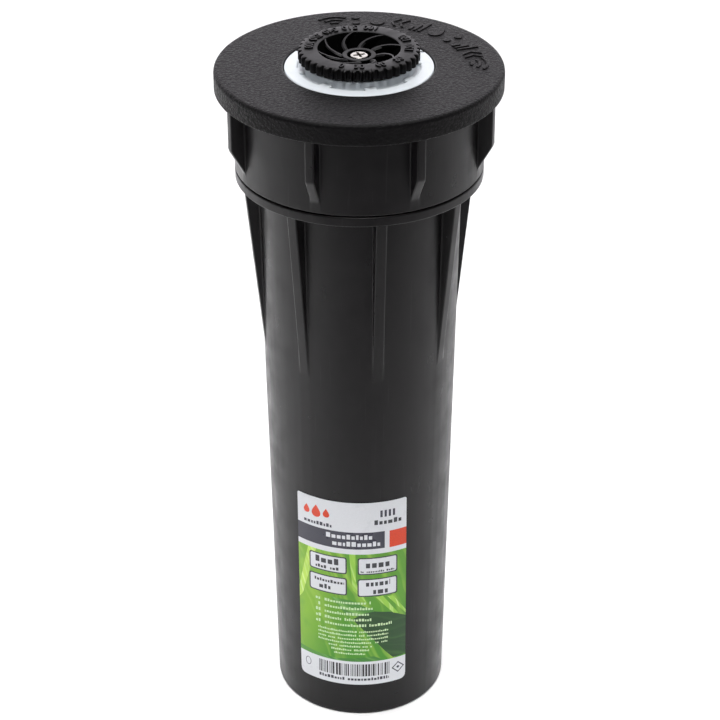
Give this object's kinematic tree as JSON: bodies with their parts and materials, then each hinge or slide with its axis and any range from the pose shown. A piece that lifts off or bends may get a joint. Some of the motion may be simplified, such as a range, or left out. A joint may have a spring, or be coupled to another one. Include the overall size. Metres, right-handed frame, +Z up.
{
  "type": "pop up sprinkler",
  "caption": "Pop up spray sprinkler body: tapered case, screw cap, sprung riser, turning arc wheel and radius screw.",
  "frame": {"origin": "centre of the case's base, on the plane that it stands on", "axes": "+Z up along the riser's travel, -Y towards the label"},
  "size_m": [0.057, 0.057, 0.15],
  "materials": {
    "black_plastic": "satin moulded",
    "grained_plastic": "leather grained",
    "white_plastic": "semi gloss moulded",
    "grey_plastic": "satin moulded",
    "black_rubber": "matte",
    "spring_steel": "drawn wire",
    "stainless": "polished",
    "printed_film": "printed, glossy"
  },
  "bodies": {
    "case": {"body_case": "black_plastic", "label": "printed_film"},
    "seal_stack": {"wiper_seal": "black_rubber", "spring_retainer": "grey_plastic", "retract_spring": "spring_steel"},
    "cap": {"cap": "grained_plastic"},
    "sleeve": {"ratchet_sleeve": "grey_plastic", "drain_check_seal": "black_rubber", "spring_seat": "white_plastic"},
    "riser": {"riser_stem": "white_plastic", "ratchet_ring": "white_plastic", "filter_screen": "grey_plastic", "nozzle_base": "black_plastic", "nozzle_oring": "black_rubber", "deflector_core": "black_plastic"},
    "wheel": {"arc_wheel": "black_plastic", "arc_washer": "black_rubber"},
    "screw_ring": {"screw_seal": "black_rubber"},
    "screw": {"radius_screw": "stainless", "throttle_plug": "white_plastic"}
  },
  "joints": [
    {"name": "riser_popup", "type": "slide", "parent": "case", "child": "sleeve", "axis": [0, 0, 1], "range_m": [0, 0.09], "stiffness_N_per_m": 150, "springref_m": -0.08, "deforming": ["retract_spring"]},
    {"name": "riser_turn", "type": "hinge", "parent": "sleeve", "child": "riser", "pos_m": [0, 0, 0], "axis": [0, 0, 1], "continuous": true},
    {"name": "arc_turn", "type": "hinge", "parent": "riser", "child": "wheel", "pos_m": [0, 0, 0], "axis": [0, 0, 1], "range_deg": [0, 330]},
    {"name": "screw_travel", "type": "slide", "parent": "riser", "child": "screw_ring", "axis": [0, 0, 1], "range_m": [-0.003, 0]},
    {"name": "screw_turn", "type": "hinge", "parent": "screw_ring", "child": "screw", "pos_m": [0, 0, 0], "axis": [0, 0, 1], "range_deg": [-1801, 0]},
    {"name": "cap_lift", "type": "slide", "parent": "case", "child": "seal_stack", "axis": [0, 0, 1], "range_m": [0, 0.006]},
    {"name": "cap_turn", "type": "hinge", "parent": "seal_stack", "child": "cap", "pos_m": [0, 0, 0], "axis": [0, 0, 1], "range_deg": [0, 721]}
  ],
  "couplings": [
    {"joint": "screw_turn", "follows": "screw_travel", "rad_per_m": 10472},
    {"joint": "cap_turn", "follows": "cap_lift", "rad_per_m": 2094.4}
  ]
}
